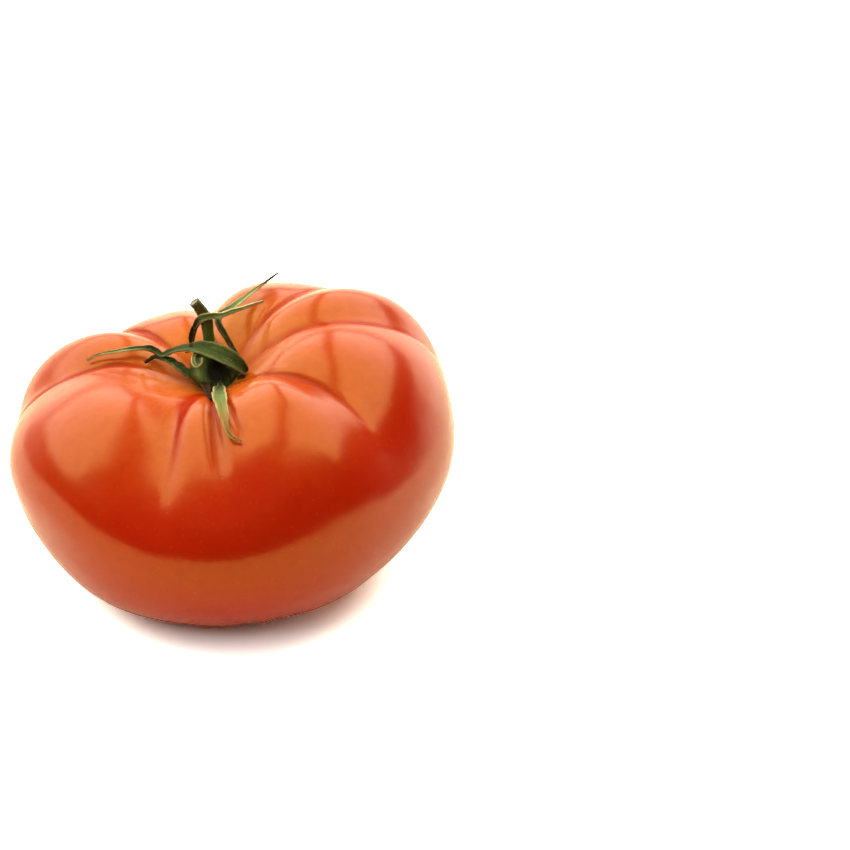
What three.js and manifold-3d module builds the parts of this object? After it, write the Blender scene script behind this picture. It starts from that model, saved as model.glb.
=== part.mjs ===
// A ribbed beefsteak tomato resting on a small flat spot, with its dried calyx and a stub of stem.
// Lengths are in millimetres and +Z is up. The origin is the middle of the flat spot under the fruit.
// The front of the fruit looks along -Y. Azimuths are in degrees, counter-clockwise seen from above,
// from +X on the right, so that the front is at 270.
import * as THREE from "three";
import { mergeVertices } from "three/addons/utils/BufferGeometryUtils.js";
import Module from "manifold-3d";

// The fruit as a whole, before its grooves are pressed in
const FRUIT_RADIUS = 48;
const SHOULDER_HEIGHT = 30.4;
const BASE_DEPTH = 29.2;
const FRUIT_CENTRE = new THREE.Vector3(2.8, 1.8, 28.3);
const SIDE_FULLNESS = 2.06;
const SHOULDER_FULLNESS = 2.28;
const BASE_FULLNESS = 2.25;
const OVAL_SHARE = 0.01;
const THREE_CORNER_SHARE = 0.042;
const LEAN_TO_FRONT = 4.7;
const LEAN_TO_LEFT = 11.1;

// The hollow at the stem
const DIMPLE_DEPTH = 13.4;
const DIMPLE_RADIUS = 16.4;

// The ribs: each row is a groove with its azimuth and depth, how far down it reaches as a share of the
// way from the stem to the blossom end, and how much the rib after it swells out
const GROOVES = [
  { azimuth: 12, depth: 2.2, reach: 0.5, swell: 1.0 },
  { azimuth: 45, depth: 2.2, reach: 0.36, swell: -0.3 },
  { azimuth: 91, depth: 5.1, reach: 0.6, swell: -2.8 },
  { azimuth: 129, depth: 3.7, reach: 0.55, swell: 1.2 },
  { azimuth: 168, depth: 2.4, reach: 0.55, swell: 0 },
  { azimuth: 250, depth: 1.8, reach: 0.42, swell: 0 },
  { azimuth: 271, depth: 1.0, reach: 0.42, swell: 0 },
  { azimuth: 280, depth: 0.7, reach: 0.3, swell: 0 },
  { azimuth: 322, depth: 3.8, reach: 0.45, swell: 0 },
];
const SHARP_VALLEY = 0.1;
const BLOSSOM_GROOVE_DEPTH = 0.5;

// Where a whole shoulder sags or swells: its azimuth, half its width in degrees, how far down it lies and
// reaches as shares of the way from the stem to the blossom end, and how far out it goes
const SHOULDERS = [
  { azimuth: 262, width: 26, fall: 0.26, length: 0.15, swell: -3.2 },
  { azimuth: 200, width: 30, fall: 0.33, length: 0.14, swell: 2.0 },
  { azimuth: 180, width: 35, fall: 0.36, length: 0.13, swell: 1.2 },
  { azimuth: 185, width: 38, fall: 0.55, length: 0.15, swell: -1.2 },
  { azimuth: 225, width: 32, fall: 0.72, length: 0.13, swell: 1.5 },
  { azimuth: 300, width: 35, fall: 0.72, length: 0.13, swell: 1.1 },
];

// The clearance between pieces that touch
const GAP = 0.3;

// The calyx: a ribbed cone over the stem end, and sepals that spring from it
const HUB_FOOT = new THREE.Vector3(0.1, 0.9, 43.8);
const HUB_TIP = new THREE.Vector3(-1.8, 2.3, 54);
const HUB_RADIUS = 5.3;
const HUB_RIB_COUNT = 7;
const HUB_RIB_HEIGHT = 0.45;
const BLADE_THICKNESS = 0.8;
const BLADE_CREASE = 0.35;
const BLADE_TIP_WIDTH = 0.8;

// Each sepal: the line of its midrib from its root to its tip, its greatest width, the shares of its length
// where it starts to open and where it is widest, the direction that its upper face has at the root, and its
// twist in degrees from root to tip
const SEPALS = [
  {
    name: "left_upper",
    midrib: [
      [-1.2, 1.4, 52.6],
      [-3.3, 1.9, 53.3],
      [-5.5, 2.5, 52.7],
      [-7.8, 3.9, 51.8],
      [-10.0, 4.9, 50.6],
      [-11.7, 5.1, 49.8],
      [-12.8, 5.6, 50.4],
      [-14.2, 5.9, 51.0],
      [-15.8, 6.1, 51.1],
      [-18.4, 5.8, 51.1],
      [-21.1, 5.5, 50.9],
      [-23.7, 6.0, 50.3],
      [-25.9, 6.6, 49.5],
      [-27.8, 7.0, 48.2],
    ],
    width: 2.1,
    opensFrom: -0.4,
    widest: 0.2,
    face: [0, -0.3, 1],
    twist: 0,
  },
  {
    name: "left_lower",
    midrib: [
      [-1.2, 0.4, 47.2],
      [-4.4, 0.2, 46.7],
      [-6.3, 0.8, 47.4],
      [-7.9, 2.0, 48.2],
      [-9.7, 3.6, 48.9],
      [-11.8, 4.4, 49.6],
      [-13.2, 4.2, 50.0],
      [-14.3, 3.5, 49.7],
      [-15.4, 3.1, 49.2],
    ],
    width: 2.2,
    opensFrom: -0.4,
    widest: 0.45,
    face: [0.2, -0.4, 1],
    twist: 0,
  },
  {
    name: "front",
    midrib: [
      [0.2, 0.6, 46.2],
      [0.5, -5.0, 47.3],
      [0.4, -9.0, 48.4],
      [0.3, -13.5, 50.1],
      [0.3, -18.0, 51.4],
      [0.3, -21.3, 52.0],
      [0.6, -24.3, 51.9],
      [1.1, -27.8, 51.1],
      [1.5, -30.0, 50.1],
      [1.9, -31.5, 49.1],
      [2.5, -32.4, 48.5],
      [3.5, -32.9, 48.1],
      [4.7, -33.1, 47.8],
    ],
    width: 3.1,
    opensFrom: -0.1,
    widest: 0.58,
    face: [0, 0, 1],
    twist: 0,
  },
  {
    name: "front_stub",
    midrib: [
      [-1.6, -0.6, 46.3],
      [-2.6, -4.5, 47.2],
      [-2.5, -8.0, 48.0],
      [-2.1, -12.5, 48.9],
      [-1.4, -17.7, 50.1],
    ],
    width: 2.2,
    opensFrom: -0.4,
    widest: 0.3,
    face: [0, -0.2, 1],
    twist: 0,
  },
  {
    name: "right_tall",
    midrib: [
      [4.9, -2.0, 48.9],
      [4.7, -1.3, 50.6],
      [4.1, -0.1, 52.0],
      [2.9, 1.4, 53.5],
      [1.8, 2.6, 55.1],
      [0.8, 3.8, 56.4],
      [0.3, 5.1, 57.5],
      [1.0, 7.0, 58.2],
      [2.9, 10.4, 57.9],
      [6.2, 16.0, 58.0],
      [10.0, 21.0, 58.8],
      [13.5, 25.0, 59.8],
    ],
    width: 1.7,
    opensFrom: -0.3,
    widest: 0.55,
    face: [0.6, -0.8, 0.2],
    twist: -60,
  },
  {
    name: "round_the_stem",
    midrib: [
      [-1.8, 3.6, 48.5],
      [-4.6, 4.3, 51.0],
      [-5.3, 4.5, 53.2],
      [-4.9, 4.4, 55.4],
      [-4.2, 2.6, 57.9],
      [-3.3, 0.6, 60.0],
      [-2.1, -0.3, 60.9],
      [-0.6, 0.3, 60.8],
      [0.9, 3.2, 59.5],
      [2.9, 6.6, 58.8],
      [5.6, 10.4, 58.0],
      [8.4, 14.0, 57.4],
      [10.2, 15.9, 57.1],
    ],
    width: 1.6,
    opensFrom: -0.4,
    widest: 0.35,
    face: [-0.7, -0.7, 0.2],
    twist: -60,
  },
  {
    name: "over_the_hub",
    midrib: [
      [-5.9, 1.9, 52.4],
      [-4.4, 0.3, 53.5],
      [-2.3, -1.4, 53.9],
      [0.2, -2.8, 53.6],
      [2.9, -3.5, 52.3],
      [4.8, -3.2, 50.5],
      [5.7, -2.2, 48.8],
      [4.4, -0.7, 46.9],
    ],
    width: 4.0,
    opensFrom: -0.4,
    widest: 0.5,
    face: [0.1, -0.6, 0.8],
    twist: 0,
  },
  {
    name: "curled_bract",
    midrib: [
      [-4.5, -0.6, 53.0],
      [-5.0, -1.9, 52.4],
      [-5.0, -3.0, 51.6],
      [-4.4, -3.7, 51.2],
      [-3.6, -3.6, 51.8],
      [-3.3, -3.1, 52.8],
    ],
    width: 0.8,
    opensFrom: -0.4,
    widest: 0.5,
    face: [-0.3, -1, 0],
    twist: 0,
  },
  {
    name: "rear_short",
    midrib: [
      [-1.2, 3.8, 49.0],
      [-1.4, 7.2, 50.6],
      [-1.6, 10.8, 50.4],
      [-2.0, 13.6, 51.4],
    ],
    width: 3.0,
    opensFrom: -0.4,
    widest: 0.4,
    face: [0, 0.2, 1],
    twist: 0,
  },
];

// The stub of stem: it stands in the hub, bends at its knuckle and ends in a clean cut
const STEM_LINE = [
  [-1.6, 2.3, 51.8],
  [-1.6, 2.3, 54.4],
  [-1.8, 2.4, 56.6],
  [-2.0, 2.4, 58.6],
  [-2.5, 2.4, 60.1],
  [-3.4, 2.45, 61.6],
  [-4.6, 2.4, 63.2],
];
const STEM_RADIUS = 1.15;
const KNUCKLE_SWELL = 0.2;
const KNUCKLE_PLACE = 0.62;
const KNUCKLE_LENGTH = 0.12;

// How finely the surfaces are divided
const FRUIT_MERIDIANS = 96;
const FRUIT_ROWS = 48;
const BLADE_SIDES = 8;
const BLADE_STEPS = 18;
const HUB_SIDES = 28;
const HUB_ROWS = 12;
const STEM_SIDES = 14;
const STEM_STEPS = 14;

const wasm = await Module();
wasm.setup();

const { smoothstep, degToRad } = THREE.MathUtils;

// A power that keeps the sign, for the full-cornered arcs of the fruit's profile
function signedPower(value, exponent) {
  return Math.sign(value) * Math.abs(value) ** exponent;
}

// The groove on each side of an azimuth, and how far between the two it lies, from 0 to 1
function ribAt(azimuth) {
  const full = 2 * Math.PI;
  const turned = THREE.MathUtils.euclideanModulo(azimuth, full);
  let after = GROOVES.findIndex((groove) => degToRad(groove.azimuth) > turned);
  if (after < 0) after = 0;
  const before = (after + GROOVES.length - 1) % GROOVES.length;
  const start = degToRad(GROOVES[before].azimuth);
  const span = THREE.MathUtils.euclideanModulo(degToRad(GROOVES[after].azimuth) - start, full);
  const share = THREE.MathUtils.euclideanModulo(turned - start, full) / span;
  return { before: GROOVES[before], after: GROOVES[after], share };
}

// A bell that is 1 in its middle and down to 0.37 at its width
function bell(distance, width) {
  return Math.exp(-((distance / width) ** 2));
}

// How far the ribs push the skin out or in: grooves are sharp by the stem, broad lower down, and fade out
function ribRelief(azimuth, fall) {
  const { before, after, share } = ribAt(azimuth);
  const across = Math.sin(Math.PI * share);
  const softness = SHARP_VALLEY + (1 - SHARP_VALLEY) * smoothstep(fall, 0.15, 0.55);
  const crown = (Math.hypot(across, softness) - softness) / (Math.hypot(1, softness) - softness);
  const groove = share < 0.5 ? before : after;
  const rise = smoothstep(fall, 0.02, 0.2);
  const fade = 1 - smoothstep((fall / groove.reach) * 0.75, 0.22, 1);
  const low = smoothstep(fall, 0.6, 0.85) * (1 - smoothstep(fall, 0.9, 1));
  const depth = groove.depth * rise * fade + BLOSSOM_GROOVE_DEPTH * low;
  const swell = before.swell * across ** 2 * bell(fall - 0.28, 0.2) * rise;
  return swell - depth * (1 - crown);
}

// How far a whole shoulder sags or swells
function shoulderRelief(azimuth, fall) {
  let total = 0;
  for (const shoulder of SHOULDERS) {
    const away = azimuth - degToRad(shoulder.azimuth) + Math.PI;
    const turned = THREE.MathUtils.euclideanModulo(away, 2 * Math.PI) - Math.PI;
    const round = bell(turned, degToRad(shoulder.width));
    total += shoulder.swell * round * bell(fall - shoulder.fall, shoulder.length);
  }
  return total * smoothstep(fall, 0.02, 0.12) * (1 - smoothstep(fall, 0.88, 0.99));
}

// A point of the skin, measured from the fruit's middle; fall runs from 0 at the stem to 1 at the blossom end
function skinPoint(azimuth, fall) {
  const sine = Math.sin(Math.PI * fall);
  const cosine = Math.cos(Math.PI * fall);
  const outline =
    1 + OVAL_SHARE * Math.sin(2 * azimuth) + THREE_CORNER_SHARE * Math.sin(3 * azimuth);
  const reach = FRUIT_RADIUS * outline * Math.abs(sine) ** (2 / SIDE_FULLNESS);
  const upper = SHOULDER_HEIGHT * signedPower(cosine, 2 / SHOULDER_FULLNESS);
  const lower = BASE_DEPTH * signedPower(cosine, 2 / BASE_FULLNESS);
  const dimple = DIMPLE_DEPTH * Math.exp(-((reach / DIMPLE_RADIUS) ** 2)) * smoothstep(cosine, 0, 0.5);
  const relief = ribRelief(azimuth, fall) + shoulderRelief(azimuth, fall);
  const height = (cosine > 0 ? upper : lower) - dimple + relief * cosine;
  const radius = reach + relief * sine;
  const point = new THREE.Vector3(radius * Math.cos(azimuth), radius * Math.sin(azimuth), height);
  const lean = 0.3 + 0.7 * smoothstep(height, -BASE_DEPTH, 0.6 * SHOULDER_HEIGHT);
  point.applyAxisAngle(new THREE.Vector3(1, 0, 0), degToRad(LEAN_TO_FRONT) * lean);
  point.applyAxisAngle(new THREE.Vector3(0, 1, 0), -degToRad(LEAN_TO_LEFT) * lean);
  return point;
}

// The skin moved outwards by an even distance
function raisedSkinPoint(azimuth, fall, distance) {
  const point = skinPoint(azimuth, fall);
  if (distance === 0) return point;
  const step = 1e-3;
  const safeFall = THREE.MathUtils.clamp(fall, step * 2, 1 - step * 2);
  const along = skinPoint(azimuth, safeFall + step).sub(skinPoint(azimuth, safeFall - step));
  const round = skinPoint(azimuth + step, safeFall).sub(skinPoint(azimuth - step, safeFall));
  const out = along.cross(round).normalize();
  if (fall < safeFall) out.set(0, 0, 1);
  if (fall > safeFall) out.set(0, 0, -1);
  return point.addScaledVector(out, distance);
}

// Moves every vertex of a geometry to the place that the rule gives for its position and its uv
function reshape(geometry, rule) {
  const position = geometry.getAttribute("position");
  const uv = geometry.getAttribute("uv");
  const old = new THREE.Vector3();
  for (let i = 0; i < position.count; i += 1) {
    old.fromBufferAttribute(position, i);
    const moved = rule(old, uv.getX(i), uv.getY(i));
    position.setXYZ(i, moved.x, moved.y, moved.z);
  }
  return geometry;
}

// A closed geometry as a solid that can be cut and joined
function solidOf(geometry) {
  geometry.deleteAttribute("normal");
  geometry.deleteAttribute("uv");
  const merged = mergeVertices(geometry, 1e-4);
  const mesh = new wasm.Mesh({
    numProp: 3,
    vertProperties: new Float32Array(merged.getAttribute("position").array),
    triVerts: new Uint32Array(merged.index.array),
  });
  return new wasm.Manifold(mesh);
}

// A solid as a geometry that can be shown
function geometryOf(solid) {
  const mesh = solid.getMesh();
  const geometry = new THREE.BufferGeometry();
  geometry.setAttribute("position", new THREE.BufferAttribute(new Float32Array(mesh.vertProperties), 3));
  geometry.setIndex(new THREE.BufferAttribute(new Uint32Array(mesh.triVerts), 1));
  geometry.computeVertexNormals();
  return geometry;
}

// The fruit's outside, swollen by a distance and placed so that its flat spot will lie at height zero
function fruitForm(distance) {
  const ball = new THREE.SphereGeometry(1, FRUIT_MERIDIANS, FRUIT_ROWS);
  return reshape(ball, (old) => {
    const fall = Math.acos(THREE.MathUtils.clamp(old.y, -1, 1)) / Math.PI;
    const azimuth = Math.atan2(old.z, -old.x);
    return raisedSkinPoint(azimuth, fall, distance).add(FRUIT_CENTRE);
  });
}

// The fruit: one solid, cut level under its base
function makeFruit() {
  const side = 4 * FRUIT_RADIUS;
  const below = new THREE.BoxGeometry(side, side, side);
  below.translate(0, 0, -side / 2);
  return solidOf(fruitForm(0)).subtract(solidOf(below));
}

// Directions across a curve that turn no more than they must, from a given first one
function carriedFaces(points, first) {
  const faces = [];
  let face = first.clone();
  points.forEach((point, i) => {
    const next = points[Math.min(i + 1, points.length - 1)];
    const last = points[Math.max(i - 1, 0)];
    const along = next.clone().sub(last).normalize();
    face = face.clone().addScaledVector(along, -face.dot(along)).normalize();
    faces.push({ along, face });
  });
  return faces;
}

// A closed rod along a curve; the section rule gives how far a side stands out across and along the face
function sweep(line, first, twist, sides, steps, section) {
  const curve = new THREE.CatmullRomCurve3(line.map((p) => new THREE.Vector3(...p)));
  const points = curve.getSpacedPoints(steps);
  const frames = carriedFaces(points, first);
  const rod = new THREE.CylinderGeometry(1, 1, 1, sides, steps);
  return reshape(rod, (old) => {
    const share = THREE.MathUtils.clamp(old.y + 0.5, 0, 1);
    const i = Math.round(share * steps);
    const { along, face } = frames[i];
    const turned = face.clone().applyAxisAngle(along, degToRad(twist) * share);
    const across = along.clone().cross(turned);
    const { out, up } = section(old.x, old.z, share);
    return points[i].clone().addScaledVector(across, out).addScaledVector(turned, up);
  });
}

// A sepal: a narrow blade with a crease along its midrib, widest some way out and drawn to a narrow tip
function makeSepal(sepal) {
  const first = new THREE.Vector3(...sepal.face);
  const form = sweep(sepal.midrib, first, sepal.twist, BLADE_SIDES, BLADE_STEPS, (x, z, share) => {
    const opening = smoothstep(share, sepal.opensFrom, sepal.widest);
    const closing = 1 - smoothstep(share, sepal.widest, 1.05);
    const width = BLADE_TIP_WIDTH + (sepal.width - BLADE_TIP_WIDTH) * opening * closing;
    const crease = BLADE_CREASE * (width / sepal.width) * Math.abs(x);
    return { out: (x * width) / 2, up: (z * BLADE_THICKNESS) / 2 + crease };
  });
  return solidOf(form);
}

// The hub: a leaning ribbed cone with a round top, sunk into the stem end's hollow
function makeHub() {
  const ball = new THREE.SphereGeometry(1, HUB_SIDES, HUB_ROWS);
  const form = reshape(ball, (old) => {
    const share = (old.y + 1) / 2;
    const azimuth = Math.atan2(old.z, -old.x);
    const taper = HUB_RADIUS * (1 - 0.45 * smoothstep(share, 0.35, 1));
    const rib = HUB_RIB_HEIGHT * Math.cos(HUB_RIB_COUNT * azimuth) * (1 - share);
    const reach = Math.hypot(old.x, old.z) ** 0.7 * (taper + rib);
    const middle = HUB_FOOT.clone().lerp(HUB_TIP, share);
    return middle.add(new THREE.Vector3(reach * Math.cos(azimuth), reach * Math.sin(azimuth), 0));
  });
  return solidOf(form);
}

// The stem's form, thickened by a distance all round and lengthened by it at the foot
function stemForm(distance) {
  const line = STEM_LINE.map((p) => [...p]);
  line[0][2] -= distance;
  return sweep(line, new THREE.Vector3(0, -1, 0), 0, STEM_SIDES, STEM_STEPS, (x, z, share) => {
    const bump = KNUCKLE_SWELL * Math.exp(-(((share - KNUCKLE_PLACE) / KNUCKLE_LENGTH) ** 2));
    const radius = STEM_RADIUS + bump + distance;
    return { out: x * radius, up: z * radius };
  });
}

// The calyx: hub and sepals in one, hollowed for the stem and cut to the skin that it sits on
function makeCalyx() {
  let calyx = makeHub();
  for (const sepal of SEPALS) calyx = calyx.add(makeSepal(sepal));
  return calyx.subtract(solidOf(stemForm(GAP))).subtract(solidOf(fruitForm(GAP)));
}

const SKIN = new THREE.MeshStandardMaterial({ color: 0xd8391a, roughness: 0.22, metalness: 0 });
const LEAF = new THREE.MeshStandardMaterial({ color: 0x4f6b2f, roughness: 0.75, metalness: 0 });
const STEM = new THREE.MeshStandardMaterial({ color: 0x4a5a2a, roughness: 0.7, metalness: 0 });

function named(name, geometry, material) {
  const mesh = new THREE.Mesh(geometry, material);
  mesh.name = name;
  return mesh;
}

const tomato = new THREE.Group();
tomato.add(named("fruit", geometryOf(makeFruit()), SKIN));
tomato.add(named("calyx", geometryOf(makeCalyx()), LEAF));
tomato.add(named("stem", stemForm(0), STEM));

export default tomato;
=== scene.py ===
"""A ribbed beefsteak tomato with its dried calyx and a stub of stem, on a plain pale floor.

Lengths that describe the tomato are in millimetres, as in the solids, and Blender's own units are metres.
The origin is the middle of the small flat spot under the fruit, +Z is up and the front looks along -Y.
"""

from __future__ import annotations

import logging
import math
from dataclasses import dataclass, field
from enum import Enum
from functools import reduce

import bpy
import numpy as np
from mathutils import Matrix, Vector


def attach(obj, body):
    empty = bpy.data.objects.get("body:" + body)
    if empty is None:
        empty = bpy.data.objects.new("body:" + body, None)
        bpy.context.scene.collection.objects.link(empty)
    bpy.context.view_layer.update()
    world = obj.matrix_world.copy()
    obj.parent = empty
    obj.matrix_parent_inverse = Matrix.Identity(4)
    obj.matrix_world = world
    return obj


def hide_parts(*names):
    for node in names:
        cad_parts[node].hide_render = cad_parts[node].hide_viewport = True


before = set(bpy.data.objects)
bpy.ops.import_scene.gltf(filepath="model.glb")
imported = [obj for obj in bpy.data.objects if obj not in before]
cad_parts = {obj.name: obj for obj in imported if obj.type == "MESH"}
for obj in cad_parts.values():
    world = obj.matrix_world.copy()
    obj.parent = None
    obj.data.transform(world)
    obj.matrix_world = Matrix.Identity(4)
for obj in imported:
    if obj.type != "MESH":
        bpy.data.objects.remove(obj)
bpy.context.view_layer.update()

LOG = logging.getLogger("tomato")
MM = 0.001
FULL_TURN = 2.0 * math.pi
MERGE_DISTANCE = 1e-6
GREEN_GRAIN = 4200.0
BLADE_MAP = "blade"
Array = np.ndarray
Colour = tuple[float, float, float]
Point = tuple[float, float, float]
Piece = bpy.types.Object
Socket = bpy.types.NodeSocket


class Slot(Enum):
    """The material slots that the record names."""

    SKIN = "skin"
    LEAF = "leaf"
    STEM = "stem"


class Node(Enum):
    """The solids that finer pieces stand for."""

    FRUIT = "fruit"
    CALYX = "calyx"
    STEM = "stem"


# Small tools for numbers


def smoothstep(low: float, high: float, value: Array | float) -> Array:
    """A smooth ramp that is 0 up to low and 1 from high on."""
    share = np.clip((np.asarray(value, float) - low) / (high - low), 0.0, 1.0)
    return share * share * (3.0 - 2.0 * share)


def window(low: float, full: float, fading: float, gone: float, value: Array) -> Array:
    """A smooth ramp up from low to full, and down again from fading to gone."""
    return smoothstep(low, full, value) * (1.0 - smoothstep(fading, gone, value))


def bump(middle: float, width: float, value: Array | float) -> Array:
    """A bell of height 1 at middle that is down to 0.37 at a distance of width."""
    return np.exp(-(((np.asarray(value, float) - middle) / width) ** 2))


def turned(azimuth: Array, degrees: Array | float) -> Array:
    """The angle of each azimuth from one in degrees, of at most half a turn either way."""
    return np.mod(azimuth - np.radians(degrees) + math.pi, FULL_TURN) - math.pi


def unit(vectors: Array) -> Array:
    """The vectors of the last axis at length 1."""
    return vectors / np.maximum(np.linalg.norm(vectors, axis=-1, keepdims=True), 1e-12)


def wavy(points: Array, seed: int, waves: int, pitch: float) -> Array:
    """Soft bumps that are the same each time, a sum of waves in random directions.

    Args:
        points: places, in millimetres, one in each row.
        seed: the seed of the directions and phases.
        waves: how many waves are added up.
        pitch: the middle length of a wave in millimetres.

    Returns:
        A value of about -1 to 1 for each place.
    """
    rng = np.random.default_rng(seed)
    total = np.zeros(points.shape[:-1])
    for _ in range(waves):
        direction = unit(rng.normal(size=3)) * (FULL_TURN / (pitch * rng.uniform(0.7, 1.5)))
        total += np.sin(points @ direction + rng.uniform(0.0, FULL_TURN))
    return total / math.sqrt(waves * 2.0)


# Small tools for modelling with operators


def deselect_all() -> None:
    """Leaves nothing selected."""
    if bpy.context.mode != "OBJECT":
        bpy.ops.object.mode_set(mode="OBJECT")
    bpy.ops.object.select_all(action="DESELECT")


def pick(piece: Piece) -> None:
    """Selects one piece alone and makes it the active one.

    Args:
        piece: the piece.
    """
    deselect_all()
    piece.select_set(True)
    bpy.context.view_layer.objects.active = piece


def new_piece(name: str) -> Piece:
    """Names the primitive that an operator has just added.

    Args:
        name: its name.

    Returns:
        The named piece.
    """
    piece = bpy.context.active_object
    piece.name = name
    piece.data.name = name
    return piece


def read_points(piece: Piece) -> Array:
    """Reads where the piece's vertices are.

    Args:
        piece: the piece.

    Returns:
        The vertices in Blender's units, one in each row.
    """
    points = np.zeros(len(piece.data.vertices) * 3)
    piece.data.vertices.foreach_get("co", points)
    return points.reshape(-1, 3)


def write_points(piece: Piece, points: Array) -> None:
    """Moves the piece's vertices to places given in millimetres."""
    piece.data.vertices.foreach_set("co", (points * MM).astype(np.float32).ravel())
    piece.data.update()


def add_values(piece: Piece, **values: Array) -> None:
    """Keeps numbers for each vertex as attributes that a material can read.

    Args:
        piece: the piece.
        values: the numbers of each attribute by its name.
    """
    for name, numbers in values.items():
        layer = piece.data.attributes.new(name, "FLOAT", "POINT")
        layer.data.foreach_set("value", np.asarray(numbers, np.float32).ravel())


def add_vector(piece: Piece, name: str, values: Array) -> None:
    """Keeps a vector for each vertex as an attribute that a material can read."""
    layer = piece.data.attributes.new(name, "FLOAT_VECTOR", "POINT")
    layer.data.foreach_set("vector", np.asarray(values, np.float32).ravel())


def apply_modifier(piece: Piece, kind: str, **settings: object) -> None:
    """Adds a modifier to a piece and applies it.

    Args:
        piece: the piece.
        kind: Blender's name for the kind of modifier.
        settings: the modifier's settings by name.
    """
    pick(piece)
    modifier = piece.modifiers.new(kind.title(), kind)
    for name, value in settings.items():
        setattr(modifier, name, value)
    bpy.ops.object.modifier_apply(modifier=modifier.name)


def clean_mesh(piece: Piece) -> None:
    """Merges vertices that lie together and turns all faces outwards.

    Args:
        piece: the piece.
    """
    pick(piece)
    bpy.ops.object.mode_set(mode="EDIT")
    bpy.ops.mesh.select_all(action="SELECT")
    bpy.ops.mesh.remove_doubles(threshold=MERGE_DISTANCE)
    bpy.ops.mesh.normals_make_consistent(inside=False)
    bpy.ops.object.mode_set(mode="OBJECT")


def map_blade(piece: Piece, across: Array, along: Array) -> None:
    """Lays a map on a piece.

    Args:
        piece: the piece.
        across: where each vertex lies across the piece.
        along: where each vertex lies along it.
    """
    layer = piece.data.uv_layers.new(name=BLADE_MAP)
    corners = np.zeros(len(piece.data.loops), np.int32)
    piece.data.loops.foreach_get("vertex_index", corners)
    places = np.stack([across[corners], along[corners]], -1)
    layer.data.foreach_set("uv", places.astype(np.float32).ravel())


def settle(piece: Piece, node: Node | None, material: bpy.types.Material) -> None:
    """Dresses a finished piece and says where it belongs.

    Args:
        piece: the finished piece.
        node: the solid that it stands for, or None for an addition.
        material: its material.
    """
    piece.data.materials.clear()
    piece.data.materials.append(material)
    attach(piece, "root")
    if node is not None:
        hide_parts(node.value)
    LOG.info("%s: %d faces", piece.name, len(piece.data.polygons))


def shade_smooth(piece: Piece, angle: float) -> None:
    """Shades the piece smooth, but for edges sharper than an angle in degrees."""
    pick(piece)
    bpy.ops.object.shade_smooth_by_angle(angle=math.radians(angle))


# Shader tools


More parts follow.
